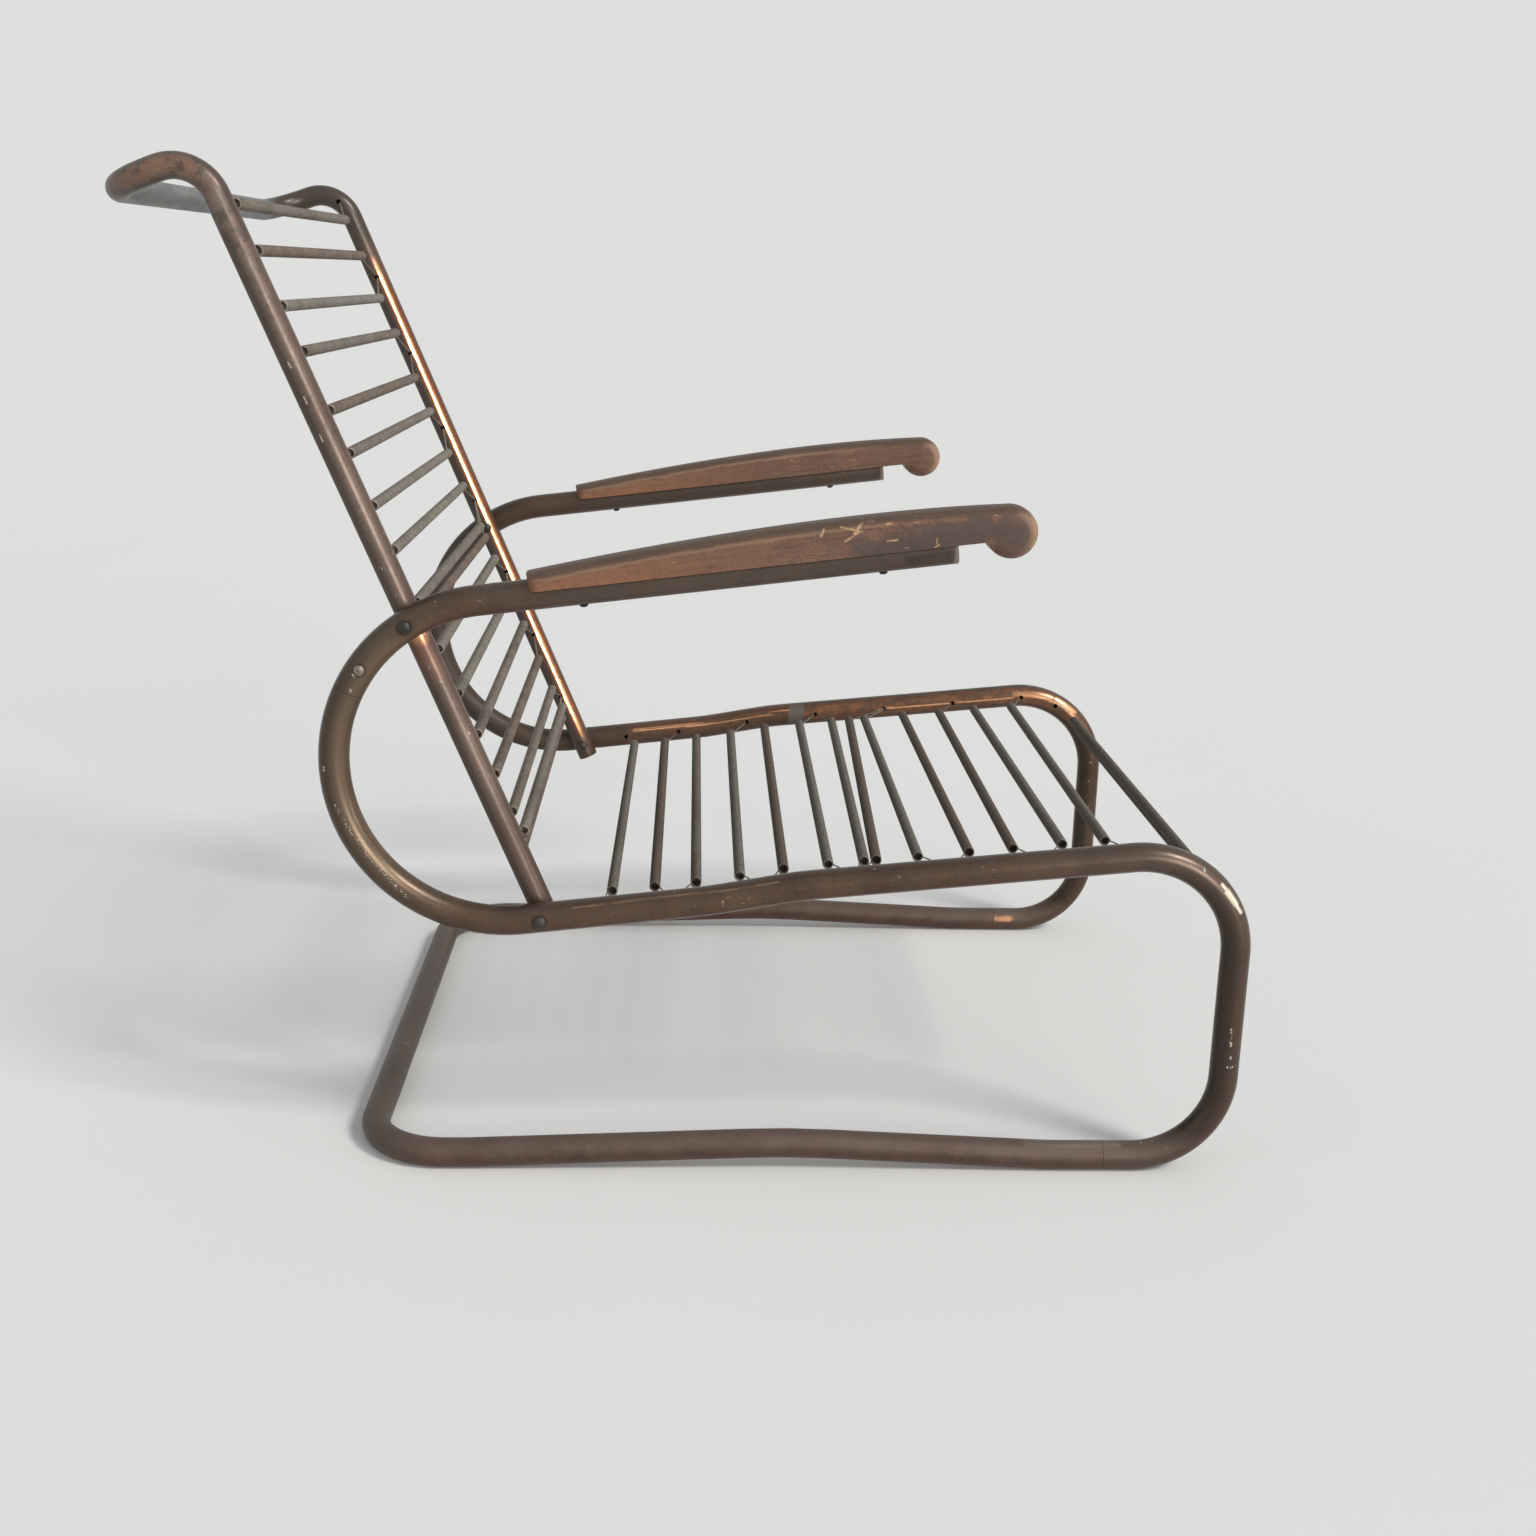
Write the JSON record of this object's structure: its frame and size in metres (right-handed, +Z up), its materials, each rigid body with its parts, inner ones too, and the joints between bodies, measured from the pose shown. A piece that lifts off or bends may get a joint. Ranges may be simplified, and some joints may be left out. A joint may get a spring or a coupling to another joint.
{
  "type": "cantilever lounge chair",
  "caption": "Low cantilever lounge chair in bent steel tube, with extension springs across its back and seat and scrolled wooden arm pads.",
  "frame": {"origin": "on the floor, under the middle of the chair's outer box", "axes": "+X towards the front of the chair, +Y towards the sitter's left, +Z up"},
  "size_m": [0.9369, 0.638, 0.8293],
  "materials": {
    "lacquer": "worn copper-brown lacquer, satin, chipped to steel",
    "bare_steel": "bare steel, dull",
    "spring": "grey-green spring steel, dull, some pieces rust-brown",
    "wood": "red-brown varnished hardwood, worn and scratched",
    "bolt": "dark blued steel"
  },
  "bodies": {
    "root": {"arm_bolt_left": "bolt", "arm_bolt_nut_left": "bolt", "arm_bolt_nut_right": "bolt", "arm_bolt_right": "bolt", "arm_joint_sleeve_left": "bare_steel", "arm_joint_sleeve_right": "bare_steel", "arm_pad_left": "wood", "arm_pad_right": "wood", "arm_tube_left": "lacquer", "arm_tube_right": "lacquer", "back_spring_01": "spring", "back_spring_02": "spring", "back_spring_03": "spring", "back_spring_04": "spring", "back_spring_05": "spring", "back_spring_06": "spring", "back_spring_07": "spring", "back_spring_08": "spring", "back_spring_09": "spring", "back_spring_10": "spring", "back_spring_11": "spring", "back_spring_12": "spring", "back_spring_13": "spring", "back_spring_14": "spring", "back_spring_15": "spring", "back_spring_16": "spring", "back_spring_17": "spring", "back_tube": "lacquer", "floor_tube": "lacquer", "joint_screw_left": "bare_steel", "joint_screw_right": "bare_steel", "pad_screw_front_left": "bolt", "pad_screw_front_right": "bolt", "pad_screw_rear_left": "bolt", "pad_screw_rear_right": "bolt", "runner_joint_sleeve_left": "bare_steel", "runner_joint_sleeve_right": "bare_steel", "seat_bolt_left": "bolt", "seat_bolt_nut_left": "bolt", "seat_bolt_nut_right": "bolt", "seat_bolt_right": "bolt", "seat_spring_01": "spring", "seat_spring_02": "spring", "seat_spring_03": "spring", "seat_spring_04": "spring", "seat_spring_05": "spring", "seat_spring_06": "spring", "seat_spring_07": "spring", "seat_spring_08": "spring", "seat_spring_09": "spring", "seat_spring_10": "spring", "seat_spring_11": "spring", "seat_spring_12": "spring", "seat_spring_13": "spring", "seat_spring_14": "spring", "seat_spring_15": "spring", "seat_tube_left": "lacquer", "seat_tube_right": "lacquer"}
  },
  "joints": []
}
